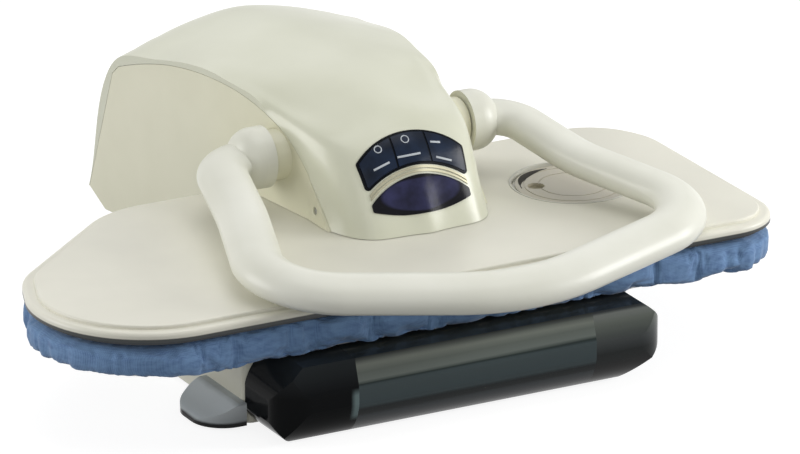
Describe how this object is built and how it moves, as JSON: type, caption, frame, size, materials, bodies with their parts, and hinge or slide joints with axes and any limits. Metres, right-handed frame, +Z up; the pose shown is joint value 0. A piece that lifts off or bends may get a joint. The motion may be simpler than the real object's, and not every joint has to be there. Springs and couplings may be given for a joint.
{
  "type": "steam press",
  "caption": "Tabletop steam press for laundry: fabric-covered padded board on a low base, heated shoe on a hinged arm, bail handle and water filler lid.",
  "frame": {"origin": "on the floor, at the underside of the middle foot of the base, under the middle plane of the arm", "axes": "+X to the user's right along the length of the board, +Y to the back, +Z up"},
  "size_m": [0.6173, 0.5616, 0.207],
  "materials": {
    "base_plastic": "satin",
    "bright_steel": "satin",
    "rubber_black": "matte",
    "dark_plastic": "matte",
    "smoked_window": "gloss",
    "smoked_dark": "gloss",
    "frame_steel": "satin",
    "blue_cloth": "matte",
    "foam": "matte",
    "plate_plastic": "satin",
    "plate_metal": "satin",
    "insulation": "matte",
    "tank_plastic": "satin",
    "lid_plastic": "satin",
    "head_plastic": "gloss",
    "side_plastic": "satin",
    "panel_navy": "gloss",
    "key_plastic": "gloss",
    "board_green": "matte",
    "mat_rubber": "matte",
    "badge_navy": "gloss",
    "trim_silver": "polished",
    "handle_plastic": "satin",
    "cam_plastic": "matte",
    "bush_brass": "satin",
    "hose_rubber": "matte"
  },
  "bodies": {
    "base": {"base_shell": "base_plastic", "base_floor": "base_plastic", "base_screws": "bright_steel", "rubber_feet": "rubber_black", "power_inlet": "dark_plastic", "base_window": "smoked_window", "base_end_right": "smoked_dark", "base_end_left": "smoked_dark", "base_foot_left": "smoked_dark", "base_foot_right": "smoked_dark", "hinge_bracket": "frame_steel", "bracket_screws": "bright_steel", "hinge_pin": "bright_steel", "counter_springs": "bright_steel", "board_tray": "frame_steel", "pad_cover": "blue_cloth", "pad_foam": "foam"},
    "arm": {"shoe_cover": "plate_plastic", "heating_element": "bright_steel", "heating_plate": "plate_metal", "shoe_studs": "bright_steel", "insulation_mat": "insulation", "water_tank": "tank_plastic", "lid_seal": "rubber_black", "hood": "head_plastic", "side_cover_right": "side_plastic", "side_cover_left": "side_plastic", "panel_bezel": "panel_navy", "circuit_board": "board_green", "key_mat": "mat_rubber", "badge": "badge_navy", "trim_arcs": "trim_silver", "press_pillars": "bright_steel", "arm_frame": "frame_steel", "frame_screws": "bright_steel", "arm_bushes": "bush_brass", "side_screws": "bright_steel", "arm_inner_cover": "side_plastic", "pump": "dark_plastic", "suction_hose": "hose_rubber", "steam_hose": "hose_rubber", "steam_block": "plate_metal", "thermostat": "bright_steel", "thermal_fuse": "bush_brass"},
    "handle": {"handle_bow": "handle_plastic", "handle_shaft": "bright_steel", "handle_cams": "cam_plastic"},
    "left_key": {"key_left": "key_plastic"},
    "middle_key": {"key_middle": "key_plastic"},
    "right_key": {"key_right": "key_plastic"},
    "lid": {"filler_lid": "lid_plastic"}
  },
  "joints": [
    {"name": "arm_lift", "type": "hinge", "parent": "base", "child": "arm", "pos_m": [0, 0.28, 0.058], "axis": [-1, 0, 0], "range_deg": [0, 40]},
    {"name": "handle_turn", "type": "hinge", "parent": "arm", "child": "handle", "pos_m": [0, 0.062, 0.152], "axis": [-1, 0, 0], "range_deg": [0, 65]},
    {"name": "key_left_press", "type": "slide", "parent": "arm", "child": "left_key", "axis": [0, 0.8387, -0.5446], "range_m": [0, 0.001], "stiffness_N_per_m": 500},
    {"name": "key_middle_press", "type": "slide", "parent": "arm", "child": "middle_key", "axis": [0, 0.8387, -0.5446], "range_m": [0, 0.001], "stiffness_N_per_m": 500},
    {"name": "key_right_press", "type": "slide", "parent": "arm", "child": "right_key", "axis": [0, 0.8387, -0.5446], "range_m": [0, 0.001], "stiffness_N_per_m": 500},
    {"name": "lid_turn", "type": "hinge", "parent": "arm", "child": "lid", "pos_m": [0.156, -0.002, 0.106], "axis": [0, 0, 1], "range_deg": [0, 60]}
  ]
}
